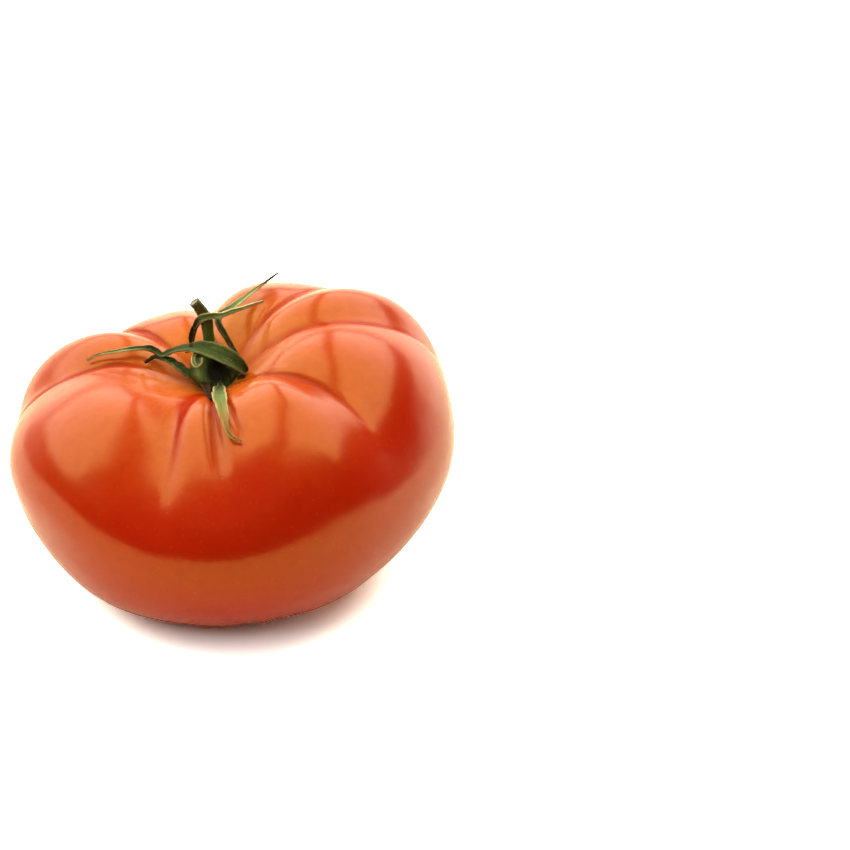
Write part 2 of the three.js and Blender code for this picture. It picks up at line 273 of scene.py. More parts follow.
class Nodes:
    """A node tree and short ways to add nodes to it."""

    def __init__(self, tree: bpy.types.NodeTree) -> None:
        """Works on a tree that exists."""
        self.tree = tree

    def node(self, kind: str, **settings: object) -> bpy.types.Node:
        """Adds a node.

        Args:
            kind: Blender's name for the kind of node.
            settings: its properties by name.

        Returns:
            The node.
        """
        made = self.tree.nodes.new(kind)
        for name, value in settings.items():
            setattr(made, name, value)
        return made

    def put(self, socket: Socket, value: object) -> None:
        """Gives an input a value, or links it if the value is a socket.

        Args:
            socket: the input.
            value: the value, the socket to link, or None to leave the input alone.
        """
        if isinstance(value, Socket):
            self.tree.links.new(value, socket)
        elif value is not None:
            socket.default_value = (*value, 1.0) if socket.type == "RGBA" else value

    def fill(self, node: bpy.types.Node, inputs: dict) -> None:
        """Fills a node's inputs, given by their names or numbers."""
        for name, value in inputs.items():
            self.put(node.inputs[name], value)

    def result(self, kind: str, output: str | int, inputs: dict, **settings: object) -> Socket:
        """Adds a node and fills its inputs.

        Args:
            kind: Blender's name for the kind of node.
            output: the output that is wanted, by its name or number.
            inputs: what goes into its inputs, by their names or numbers.
            settings: its properties by name.

        Returns:
            The output that is wanted.
        """
        made = self.node(kind, **settings)
        self.fill(made, inputs)
        return made.outputs[output]

    def attribute(self, name: str, output: str = "Fac") -> Socket:
        """The value of an attribute of the mesh."""
        return self.result("ShaderNodeAttribute", output, {}, attribute_name=name)

    def place(self, frame_name: str = "Object") -> Socket:
        """The place on the piece, in its own frame or another."""
        return self.result("ShaderNodeTexCoord", frame_name, {})

    def blade_map(self) -> Socket:
        """The place on the piece's map, across it and along it."""
        return self.result("ShaderNodeUVMap", 0, {}, uv_map=BLADE_MAP)

    def part(self, vector: Socket, axis: str) -> Socket:
        """One coordinate of a vector."""
        return self.result("ShaderNodeSeparateXYZ", axis, {0: vector})

    def math(self, kind: str, *values: object) -> Socket:
        """The result of a sum on its values."""
        return self.result("ShaderNodeMath", 0, dict(enumerate(values)), operation=kind)

    def product(self, *values: object) -> Socket:
        """The product of several values."""
        return reduce(lambda first, second: self.math("MULTIPLY", first, second), values)

    def uneven(self, value: Socket, patches: Socket, amount: float) -> Socket:
        """A value that is larger in some patches and smaller in others."""
        return self.math("ADD", value, self.product(self.math("SUBTRACT", patches, 0.5), amount))

    def ramp(self, value: Socket, low: float, high: float, start: float = 0.0, end: float = 1.0) -> Socket:
        """Maps a value smoothly from one range to another."""
        inputs = dict(enumerate((value, low, high, start, end)))
        return self.result("ShaderNodeMapRange", 0, inputs, interpolation_type="SMOOTHSTEP")

    def mix(self, share: object, first: object, second: object) -> Socket:
        """Mixes two colours."""
        return self.result("ShaderNodeMix", 2, {0: share, 6: first, 7: second}, data_type="RGBA")

    def noise(self, place: Socket, scale: object, detail: float = 3.0, rough: float = 0.55) -> Socket:
        """Soft noise with a scale in cycles for each unit of place."""
        inputs = {"Vector": place, "Scale": scale, "Detail": detail, "Roughness": rough}
        return self.result("ShaderNodeTexNoise", "Fac", inputs)

    def cells(self, place: Socket, scale: float) -> Socket:
        """The distance to the nearest of many scattered points."""
        return self.result("ShaderNodeTexVoronoi", "Distance", {"Vector": place, "Scale": scale})

    def scaled(self, place: Socket, size: Point) -> Socket:
        """A place stretched along each axis."""
        return self.result("ShaderNodeMapping", 0, {"Vector": place, "Scale": size})

    def relief(self, height: Socket, depth: float, strength: object = 1.0, under: object = None) -> Socket:
        """A normal tilted by a height that is depth millimetres at 1, over another normal."""
        inputs = {"Strength": strength, "Distance": depth * MM, "Height": height, "Normal": under}
        return self.result("ShaderNodeBump", 0, inputs)

    def group(self, tree: bpy.types.NodeTree, **values: object) -> dict[str, Socket]:
        """Adds a node group.

        Args:
            tree: the group.
            values: its inputs by name.

        Returns:
            Its outputs by name.
        """
        made = self.node("ShaderNodeGroup", node_tree=tree)
        self.fill(made, values)
        return {socket.name: socket for socket in made.outputs}


class Shader(Nodes):
    """A material whose surface is a Principled shader."""

    def __init__(self, name: str) -> None:
        """Makes the material.

        Args:
            name: its name.
        """
        self.material = bpy.data.materials.new(name)
        self.material.use_nodes = True
        super().__init__(self.material.node_tree)
        self.surface = self.tree.nodes["Principled BSDF"]

    def set(self, **values: object) -> None:
        """Sets or links inputs of the Principled shader, with _ for a space in their names."""
        self.fill(self.surface, {name.replace("_", " "): value for name, value in values.items()})


class Effect(Enum):
    """The effects that several materials share, each a node group."""

    GRAIN = "fine_grain"
    FIBRE = "plant_fibre"

    def tree(self) -> bpy.types.NodeTree:
        """Makes the node group the first time that it is asked for.

        Returns:
            The node group.
        """
        if self.value in bpy.data.node_groups:
            return bpy.data.node_groups[self.value]
        nodes = Nodes(bpy.data.node_groups.new(self.value, "ShaderNodeTree"))
        if self is Effect.GRAIN:
            self.grain(nodes)
        else:
            self.fibre(nodes)
        return nodes.tree

    @staticmethod
    def ends(nodes: Nodes, inputs: dict[str, str], outputs: dict[str, str]) -> tuple:
        """Gives a node group its inputs and outputs.

        Args:
            nodes: the group's tree.
            inputs: the type of each input by its name.
            outputs: the type of each output by its name.

        Returns:
            The sockets that the inputs come from, and those that the outputs go to.
        """
        for direction, given in (("INPUT", inputs), ("OUTPUT", outputs)):
            for name, kind in given.items():
                nodes.tree.interface.new_socket(name, in_out=direction, socket_type="NodeSocket" + kind)
        return nodes.node("NodeGroupInput").outputs, nodes.node("NodeGroupOutput").inputs

    def grain(self, nodes: Nodes) -> None:
        """A very fine grain of the surface, added to a normal.

        Args:
            nodes: the group's tree.
        """
        inputs = {"Place": "Vector", "Scale": "Float", "Strength": "Float", "Under": "Vector"}
        start, end = self.ends(nodes, inputs, {"Normal": "Vector"})
        noise = nodes.noise(start["Place"], start["Scale"], 3.0, 0.5)
        nodes.put(end["Normal"], nodes.relief(noise, 0.03, start["Strength"], start["Under"]))

    def fibre(self, nodes: Nodes) -> None:
        """Patches of tone and strands that run along a leaf or a stem, with their relief.

        Args:
            nodes: the group's tree.
        """
        outputs = {"Patches": "Float", "Strands": "Float", "Normal": "Vector"}
        start, end = self.ends(nodes, {"Place": "Vector", "Way": "Vector"}, outputs)
        strands = nodes.noise(start["Way"], 1.0, 4.0, 0.6)
        nodes.put(end["Patches"], nodes.noise(start["Place"], 900.0, 4.0))
        nodes.put(end["Strands"], strands)
        nodes.put(end["Normal"], nodes.relief(strands, 0.09))


# The fruit


@dataclass(frozen=True)
class Groove:
    """A groove between two ribs, with its azimuth and shift in degrees.

    Its depth is in millimetres, and its swell is how far the rib after it is pushed out. Its reach is the
    fall where it runs out. The fold and the shade are the strength of the fine fold at its bottom and of
    the painted shade on the skin beside the stem. fold_width widens both, and shift turns them off the
    groove's middle.
    """

    azimuth: float
    depth: float
    reach: float
    swell: float
    fold: float = 1.0
    fold_width: float = 1.0
    shade: float = 0.4
    shift: float = 0.0


@dataclass(frozen=True)
class Shoulder:
    """A stretch of the shoulder that sags or swells.

    Its azimuth and width are in degrees, its fall and length are shares of the way down from the stem, and
    its swell is in millimetres.
    """

    azimuth: float
    width: float
    fall: float
    length: float
    swell: float


@dataclass(frozen=True)
class FruitForm:
    """The fruit's outside as a formula, with the same driving dimensions as its solid, in millimetres."""

    radius: float = 48.0
    shoulder_height: float = 30.4
    base_depth: float = 29.2
    centre: Point = (2.8, 1.8, 28.3)
    side_fullness: float = 2.06
    shoulder_fullness: float = 2.28
    base_fullness: float = 2.25
    oval_share: float = 0.01
    three_corner_share: float = 0.042
    lean_to_front: float = 4.7
    lean_to_left: float = 11.1
    dimple_depth: float = 13.4
    dimple_radius: float = 16.4
    sharp_valley: float = 0.1
    blossom_groove_depth: float = 0.5
    grooves: tuple[Groove, ...] = (
        Groove(12, 2.2, 0.5, 1.0),
        Groove(45, 2.2, 0.36, -0.3),
        Groove(91, 5.1, 0.6, -2.8),
        Groove(129, 3.7, 0.55, 1.2),
        Groove(168, 2.4, 0.55, 0.0),
        Groove(250, 1.8, 0.42, 0.0, 0.5, 1.8, 1.0, 3.2),
        Groove(271, 1.0, 0.42, 0.0, 0.7, 1.2, 0.6),
        Groove(280, 0.7, 0.3, 0.0, 0.8, 1.0, 0.4),
        Groove(322, 3.8, 0.45, 0.0),
    )
    shoulders: tuple[Shoulder, ...] = (
        Shoulder(262, 26, 0.26, 0.15, -3.2),
        Shoulder(200, 30, 0.33, 0.14, 2.0),
        Shoulder(180, 35, 0.36, 0.13, 1.2),
        Shoulder(185, 38, 0.55, 0.15, -1.2),
        Shoulder(225, 32, 0.72, 0.13, 1.5),
        Shoulder(300, 35, 0.72, 0.13, 1.1),
    )

    def ribs(self, azimuth: Array, fall: Array) -> tuple[Array, Array]:
        """How the ribs push the skin out and in.

        Args:
            azimuth: the direction from the fruit's axis, in radians.
            fall: the way down from the stem, from 0 to 1 at the blossom end.

        Returns:
            The push in millimetres, and how deep in a groove each point lies, from 0 to 1.
        """
        starts = np.radians([g.azimuth for g in self.grooves])
        around = np.mod(azimuth, FULL_TURN)
        after = np.searchsorted(starts, around, side="right") % len(starts)
        before = (after - 1) % len(starts)
        span = np.mod(starts[after] - starts[before], FULL_TURN)
        share = np.mod(around - starts[before], FULL_TURN) / span
        across = np.sin(math.pi * share)
        softness = self.sharp_valley + (1.0 - self.sharp_valley) * smoothstep(0.15, 0.55, fall)
        crown = (np.hypot(across, softness) - softness) / (np.hypot(1.0, softness) - softness)
        groove = np.where(share < 0.5, before, after)
        depths, reaches, swells = np.array([(g.depth, g.reach, g.swell) for g in self.grooves]).T
        rise = smoothstep(0.02, 0.2, fall)
        fade = 1.0 - smoothstep(0.22, 1.0, fall / reaches[groove] * 0.75)
        depth = depths[groove] * rise * fade + self.blossom_groove_depth * window(0.6, 0.85, 0.9, 1.0, fall)
        swell = swells[before] * across**2 * bump(0.28, 0.2, fall) * rise
        return swell - depth * (1.0 - crown), (1.0 - crown) * rise * fade

    def sag(self, azimuth: Array, fall: Array) -> Array:
        """How far whole shoulders sag or swell.

        Args:
            azimuth: the direction of each point, as for the ribs.
            fall: the way down of each, as for the ribs.

        Returns:
            The push outwards in millimetres.
        """
        total = np.zeros_like(fall)
        for shoulder in self.shoulders:
            across = bump(0, math.radians(shoulder.width), turned(azimuth, shoulder.azimuth))
            total = total + shoulder.swell * across * bump(shoulder.fall, shoulder.length, fall)
        return total * window(0.02, 0.12, 0.88, 0.99, fall)

    def skin(self, azimuth: Array, fall: Array) -> Array:
        """Where the skin is.

        Args:
            azimuth: the direction from the fruit's axis, in radians.
            fall: the way down from the stem, from 0 to 1.

        Returns:
            Points in millimetres, in the part's frame.
        """
        sine, cosine = np.sin(math.pi * fall), np.cos(math.pi * fall)
        corners = self.oval_share * np.sin(2 * azimuth) + self.three_corner_share * np.sin(3 * azimuth)
        reach = self.radius * (1.0 + corners) * np.abs(sine) ** (2.0 / self.side_fullness)
        upper = self.shoulder_height * np.abs(cosine) ** (2.0 / self.shoulder_fullness)
        lower = -self.base_depth * np.abs(cosine) ** (2.0 / self.base_fullness)
        dimple = self.dimple_depth * bump(0, self.dimple_radius, reach) * smoothstep(0, 0.5, cosine)
        push = self.ribs(azimuth, fall)[0] + self.sag(azimuth, fall)
        z = np.where(cosine > 0, upper, lower) - dimple + push * cosine
        out = reach + push * sine
        x, y = out * np.cos(azimuth), out * np.sin(azimuth)
        lean = 0.3 + 0.7 * smoothstep(-self.base_depth, 0.6 * self.shoulder_height, z)
        front = math.radians(self.lean_to_front) * lean
        left = -math.radians(self.lean_to_left) * lean
        y, z = y * np.cos(front) - z * np.sin(front), y * np.sin(front) + z * np.cos(front)
        x, z = x * np.cos(left) + z * np.sin(left), z * np.cos(left) - x * np.sin(left)
        return np.stack([x, y, z], -1) + np.array(self.centre)

    def pole(self, fall: float) -> Array:
        """The middle of the stem end at a fall of 0, or of the blossom end at 1."""
        return self.skin(np.zeros(1), np.full(1, fall))[0]


@dataclass(frozen=True)
class SkinFinish:
    """The colours and the gloss of the ripe skin, with painted shade in its folds and valleys."""

    ripe: Colour = (0.31, 0.010, 0.0012)
    # A darker red for mottled patches, also used as painted shade in the folds at the bottom of the grooves.
    deep: Colour = (0.225, 0.005, 0.001)
    # Painted shade: the colour of the valleys between the ribs beside the stem.
    valley_shade: Colour = (0.245, 0.015, 0.0008)
    shoulder: Colour = (0.325, 0.042, 0.004)
    crown: Colour = (0.395, 0.088, 0.007)
    streak: Colour = (0.41, 0.11, 0.012)
    dot: Colour = (0.50, 0.12, 0.02)
    cork: Colour = (0.20, 0.055, 0.010)
    gloss_tint: Colour = (0.84, 0.57, 0.16)
    gloss_facing: float = 0.66
    gloss_at_rim: float = 0.13
    roughness: float = 0.19
    ior: float = 1.5
    glow: float = 0.22
    glow_radius: Point = (6.0, 1.1, 0.4)
    broad_scale: float = 38.0
    mottle_scale: float = 420.0
    dot_scale: float = 620.0
    grain_scale: float = 2600.0

    def material(self) -> bpy.types.Material:
        """Builds the skin's material.

        Returns:
            The material.
        """
        s = Shader("tomato_skin")
        fall, hollow, shade, dull, cork = map(s.attribute, ("fall", "hollow", "shade", "dull", "cork"))
        place = s.place()
        broad = s.noise(place, self.broad_scale, 2.0)
        mottle = s.noise(place, self.mottle_scale, 4.0)
        streaks = s.noise(s.scaled(s.attribute("skin_way", "Vector"), (9.0, 9.0, 1.6)), 2.6, 5.0, 0.7)
        ripening = s.uneven(fall, broad, 0.22)
        body = s.mix(s.ramp(ripening, 0.16, 0.42), self.shoulder, self.ripe)
        top = s.mix(s.ramp(ripening, 0.03, 0.20), self.crown, body)
        streaky = s.product(s.ramp(streaks, 0.45, 0.75), s.ramp(fall, 0.05, 0.26, 0.3, 0.0))
        streaked = s.mix(streaky, top, self.streak)
        # Painted shade: the skin is darkened in the folds at the bottom of the grooves.
        fold_shaded = s.mix(s.product(s.ramp(hollow, 0.2, 1.0), 0.6), streaked, self.deep)
        # Painted shade: the valleys between the ribs beside the stem are darkened.
        valley_shaded = s.mix(s.ramp(shade, 0.0, 0.9), fold_shaded, self.valley_shade)
        mottled = s.mix(s.ramp(mottle, 0.35, 0.75, 0.0, 0.22), valley_shaded, self.deep)
        dots = s.cells(place, self.dot_scale)
        dotted = s.mix(s.ramp(dots, 0.0, 0.22, 0.1, 0.0), mottled, self.dot)
        rough = s.ramp(mottle, 0.3, 0.7, self.roughness - 0.02, self.roughness + 0.03)
        normal = s.relief(s.ramp(dots, 0.0, 0.3), 0.012)
        normal = s.relief(mottle, 0.03, 1.0, normal)
        scale = self.grain_scale
        grain = s.group(Effect.GRAIN.tree(), Place=place, Scale=scale, Strength=0.4, Under=normal)
        facing = s.result("ShaderNodeLayerWeight", "Facing", {"Blend": 0.5})
        # Painted shade in the gloss: the reflection is dimmed at the stem, in folds, valleys and streaks.
        open_sky = s.product(
            s.ramp(shade, 0.1, 0.8, 1.0, 0.03),
            s.ramp(fall, 0.04, 0.11, 0.05, 1.0),
            s.ramp(hollow, 0.15, 0.6, 1.0, 0.3),
            s.ramp(dull, 0.0, 1.0, 1.0, 0.1),
        )
        gloss = s.ramp(facing, 0.1, 0.9, self.gloss_facing, self.gloss_at_rim)
        s.set(
            Base_Color=s.mix(cork, dotted, self.cork),
            Roughness=s.math("ADD", rough, s.product(cork, 0.5)),
            IOR=self.ior,
            Specular_IOR_Level=s.product(gloss, open_sky),
            Specular_Tint=self.gloss_tint,
            Subsurface_Weight=self.glow,
            Subsurface_Radius=tuple(r * MM for r in self.glow_radius),
            Subsurface_Scale=1.0,
            Normal=grain["Normal"],
        )
        return s.material


@dataclass(frozen=True)
class Streak:
    """A streak of painted shade in the gloss. Its path holds azimuths, falls and half widths in millimetres.
    """

    path: tuple[Point, ...]
    strength: float


@dataclass(frozen=True)
class Spots:
    """Points of the skin in millimetres, each with its azimuth in radians and its fall from 0 to 1."""

    points: Array
    azimuth: Array
    fall: Array

    def reach(self, pole: Array) -> Array:
        """How far each point is from an upright line through a pole."""
        return np.linalg.norm((self.points - pole)[:, :2], axis=1)


@dataclass
class Fruit:
    """The fruit: a ribbed ball with a hollow at the stem and a small flat spot below."""

    form: FruitForm = field(default_factory=FruitForm)
    finish: SkinFinish = field(default_factory=SkinFinish)
    meridians: int = 448
    rows: int = 214
    dent_height: float = 0.16
    fold_depth: float = 0.32
    fold_width: float = 0.85
    fold_drift: float = 2.0
    shade_width: float = 1.9
    # Streaks of painted shade in the gloss, where the skin's reflection is dimmed.
    dull_streaks: tuple[Streak, ...] = (
        Streak(
            ((214, 0.115, 0.8), (228, 0.168, 1.6), (234, 0.205, 3.4), (237, 0.235, 4.6), (239, 0.30, 6.0)),
            1.0,
        ),
        Streak(((222, 0.065, 5.0), (226, 0.125, 8.0)), 0.75),
    )
    flat_softness: float = 0.25
    cork_radius: float = 4.9
    scar_radius: float = 3.2

    def build(self) -> None:
        """Models the fruit and dresses it."""
        deselect_all()
        bpy.ops.mesh.primitive_uv_sphere_add(segments=self.meridians, ring_count=self.rows, radius=1.0)
        fruit = new_piece("tomato_fruit")
        ball = read_points(fruit)
        fall = np.arccos(np.clip(ball[:, 2], -1, 1)) / math.pi
        azimuth = np.arctan2(ball[:, 1], ball[:, 0])
        smooth = Spots(self.form.skin(azimuth, fall), azimuth, fall)
        fold = self.folds(smooth)
        push = self.dents(smooth) - self.fold_depth * fold
        points = smooth.points + self.outward(azimuth, fall) * push[:, None]
        points[:, 2] = self.rest_on_floor(points[:, 2])
        write_points(fruit, points)
        skin = Spots(points, azimuth, fall)
        add_vector(fruit, "skin_way", np.stack([np.cos(azimuth), np.sin(azimuth), fall], -1))
        # The fold, shade and streak masks tell the skin's material where to paint shade and dim its gloss.
        add_values(fruit, fall=fall, hollow=fold, shade=self.shade(skin))
        add_values(fruit, dull=self.dull(skin), cork=self.cork(skin))
        clean_mesh(fruit)
        shade_smooth(fruit, 80.0)
        settle(fruit, Node.FRUIT, self.finish.material())

    def outward(self, azimuth: Array, fall: Array) -> Array:
        """The direction straight out of the skin.

        Args:
            azimuth: the direction of each point from the fruit's axis, in radians.
            fall: the way down of each from the stem.

        Returns:
            A direction of length 1 for each point.
        """
        step = 1e-3
        safe = np.clip(fall, 2 * step, 1 - 2 * step)
        along = self.form.skin(azimuth, safe + step) - self.form.skin(azimuth, safe - step)
        around = self.form.skin(azimuth + step, safe) - self.form.skin(azimuth - step, safe)
        return unit(np.cross(along, around))

    def dents(self, spots: Spots) -> Array:
        """Small uneven swellings of a grown skin.

        Args:
            spots: points of the skin.

        Returns:
            How far each point is pushed out, in millimetres.
        """
        broad, small = wavy(spots.points, 11, 14, 26.0), wavy(spots.points, 12, 16, 7.0)
        calm = smoothstep(0.0, 0.08, spots.fall)
        return self.dent_height * calm * (0.8 * broad + 0.22 * small) - 0.5 * self.dent_height

    def beside(self, spots: Spots, degrees: Array | float) -> Array:
        """How far each point lies beside an azimuth, round the stem, in millimetres."""
        return turned(spots.azimuth, degrees) * spots.reach(self.form.pole(0))

    def folds(self, spots: Spots) -> Array:
        """Where a fine fold runs along the bottom of a groove.

        Args:
            spots: points of the skin.

        Returns:
            How deep in a fold each point lies, from 0 to 1.
        """
        total = np.zeros_like(spots.fall)
        for number, groove in enumerate(self.form.grooves):
            drift = self.fold_drift * np.sin(9 * spots.fall + 2 * number)
            width = groove.fold_width * self.fold_width * (0.6 + 1.6 * spots.fall)
            away = self.beside(spots, groove.azimuth + groove.shift - drift) / width
            fade = window(0.05, 0.14, 0.5 * groove.reach, 0.98 * groove.reach, spots.fall)
            total = np.maximum(total, groove.fold * bump(0, 1, away) * fade)
        return total

    def shade(self, spots: Spots) -> Array:
        """Where the skin lies deep between two ribs beside the stem, painted in shade and dimmed in gloss.

        Args:
            spots: points of the skin.

        Returns:
            How deep each point lies, from 0 to 1.
        """
        total = np.zeros_like(spots.fall)
        for groove in self.form.grooves:
            width = self.shade_width * groove.fold_width * (1 - 0.74 * smoothstep(0.07, 0.19, spots.fall))
            away = self.beside(spots, groove.azimuth + groove.shift) / width
            near = window(0.015, 0.05, 0.3 * groove.reach, 0.75 * groove.reach, spots.fall)
            total = np.maximum(total, groove.shade * bump(0, 1, away) * near)
        return total

    def dull(self, spots: Spots) -> Array:
        """Where the skin's gloss is dimmed along streaks down a rib, painted shade in its reflection.

        Args:
            spots: points of the skin.

        Returns:
            How far each point's gloss is dimmed, from 0 to 1.
        """
        total = np.zeros_like(spots.fall)
        for streak in self.dull_streaks:
            azimuths, falls, widths = np.array(streak.path).T
            away = self.beside(spots, np.interp(spots.fall, falls, azimuths))
            across = bump(0, 1, away / np.interp(spots.fall, falls, widths))
            first, last = falls[0], falls[-1]
            ends = window(first - 0.02, first + 0.03, last, last + (last - first) / 2, spots.fall)
            total = np.maximum(total, streak.strength * across * ends)
        return total

    def rest_on_floor(self, height: Array) -> Array:
        """Presses the lowest skin onto the floor, with a soft edge to the flat spot."""
        soft = self.flat_softness
        return np.where(height > soft * 4, height, soft * np.log1p(np.exp(np.clip(height / soft, -40, 40))))

    def cork(self, spots: Spots) -> Array:
        """Where the skin is brown and corky: a ring at the stem and a small star at the blossom end.

        Args:
            spots: points of the skin.

        Returns:
            How corky each point is, from 0 to 1.
        """
        around = spots.azimuth
        ragged = 1.0 + 0.10 * np.sin(7 * around + 0.6) + 0.06 * np.sin(17 * around)
        star = 1.0 + 0.35 * np.cos(6 * around) + 0.12 * np.sin(13 * around)
        at_stem = spots.reach(self.form.pole(0)) / (self.cork_radius * ragged)
        at_scar = spots.reach(self.form.pole(1)) / (self.scar_radius * star)
        ring = (1.0 - smoothstep(0.86, 1.1, at_stem)) * (spots.fall < 0.4)
        scar = (1.0 - smoothstep(0.7, 1.15, at_scar)) * (spots.fall > 0.6)
        return np.maximum(ring, scar)


# Curves that the stem and the sepals follow


def smooth_line(points: tuple[Point, ...], steps: int) -> Array:
    """A smooth line through points, evenly divided.

    Args:
        points: the points, in millimetres.
        steps: how many stretches the line is divided into.

    Returns:
        One more point than there are steps, one in each row.
    """
    given = np.array(points, float)
    padded = np.vstack([2 * given[0] - given[1], given, 2 * given[-1] - given[-2]])
    fine = []
    for a, b, c, d in zip(padded, padded[1:], padded[2:], padded[3:]):
        knots = np.cumsum([0.0] + [math.sqrt(np.linalg.norm(q - p)) for p, q in ((a, b), (b, c), (c, d))])
        for t in np.linspace(knots[1], knots[2], 40, endpoint=False):
            ab = a + (b - a) * (t - knots[0]) / (knots[1] - knots[0])
            bc = b + (c - b) * (t - knots[1]) / (knots[2] - knots[1])
            cd = c + (d - c) * (t - knots[2]) / (knots[3] - knots[2])
            abc = ab + (bc - ab) * (t - knots[0]) / (knots[2] - knots[0])
            bcd = bc + (cd - bc) * (t - knots[1]) / (knots[3] - knots[1])
            fine.append(abc + (bcd - abc) * (t - knots[1]) / (knots[2] - knots[1]))
    line = np.vstack([fine, given[-1]])
    lengths = np.concatenate([[0.0], np.cumsum(np.linalg.norm(np.diff(line, axis=0), axis=1))])
    wanted = np.linspace(0.0, lengths[-1], steps + 1)
    return np.stack([np.interp(wanted, lengths, line[:, k]) for k in range(3)], -1)


def carried_faces(line: Array, first: Point) -> tuple[Array, Array]:
    """Finds directions along a line, and across it, that turn no more than they must.

    Args:
        line: points of the line, one in each row.
        first: the way that the line's face looks at its start.

    Returns:
        The directions along the line, and those that its face looks in.
    """
    along = unit(np.vstack([line[1] - line[0], line[2:] - line[:-2], line[-1] - line[-2]]))
    faces = np.zeros_like(line)
    face = np.array(first, float)
    for i, direction in enumerate(along):
        face = unit(face - direction * (face @ direction))
        faces[i] = face
    return along, faces


def turn(vectors: Array, axes: Array, angles: Array) -> Array:
    """Turns each vector about its axis, which it is square to."""
    cosine, sine = np.cos(angles)[:, None], np.sin(angles)[:, None]
    return vectors * cosine + np.cross(axes, vectors) * sine


# The calyx


@dataclass(frozen=True)
class Sepal:
    """A sepal: a narrow blade that has dried, creased along its midrib and rolled at its edges.

    Lengths are in millimetres and twist is in degrees. The shares widest and opens_from are of its length,
    and pale and dry are evenly spread from its foot to its tip.
    """

    name: str
    midrib: tuple[Point, ...]
    width: float
    widest: float
    face: Point
    twist: float = 0.0
    opens_from: float = -0.4
    roll: float = 0.6
    ripple: float = 0.12
    seed: int = 1
    pale: tuple[float, ...] = (0.2, 0.5)
    dry: tuple[float, ...] = (0.0, 0.2)
    tip_width: float = 0.5

    def section(self, across: Array, share: Array) -> tuple[Array, Array]:
        """How far each point of the blade stands off its midrib.

        Args:
            across: its place across the blade, from -1 to 1.
            share: its place along the blade, from 0 to 1.

        Returns:
            How far it stands sideways and how far up, in millimetres.
        """
        opening = smoothstep(self.opens_from, self.widest, share)
        closing = 1 - smoothstep(self.widest, 1.05, share)
        width = self.tip_width + (self.width - self.tip_width) * opening * closing
        waves = 0.5 * np.sin(share * 37 + self.seed) + 0.35 * np.sin(share * 83 + self.seed)
        half = width / 2 * (1 + self.ripple * waves)
        bend = np.maximum(self.roll * (0.6 + 0.4 * np.sin(share * 9 + self.seed)), 0.05)
        sideways = half * np.sin(bend * across) / bend
        up = half * (1 - np.cos(bend * across)) / bend
        ripples = self.ripple * np.sin(share * 46 + self.seed + 1.3 * np.sign(across)) * across**2
        crease = 0.22 * half * np.abs(across)
        return sideways, up + crease + ripples * half - 0.15


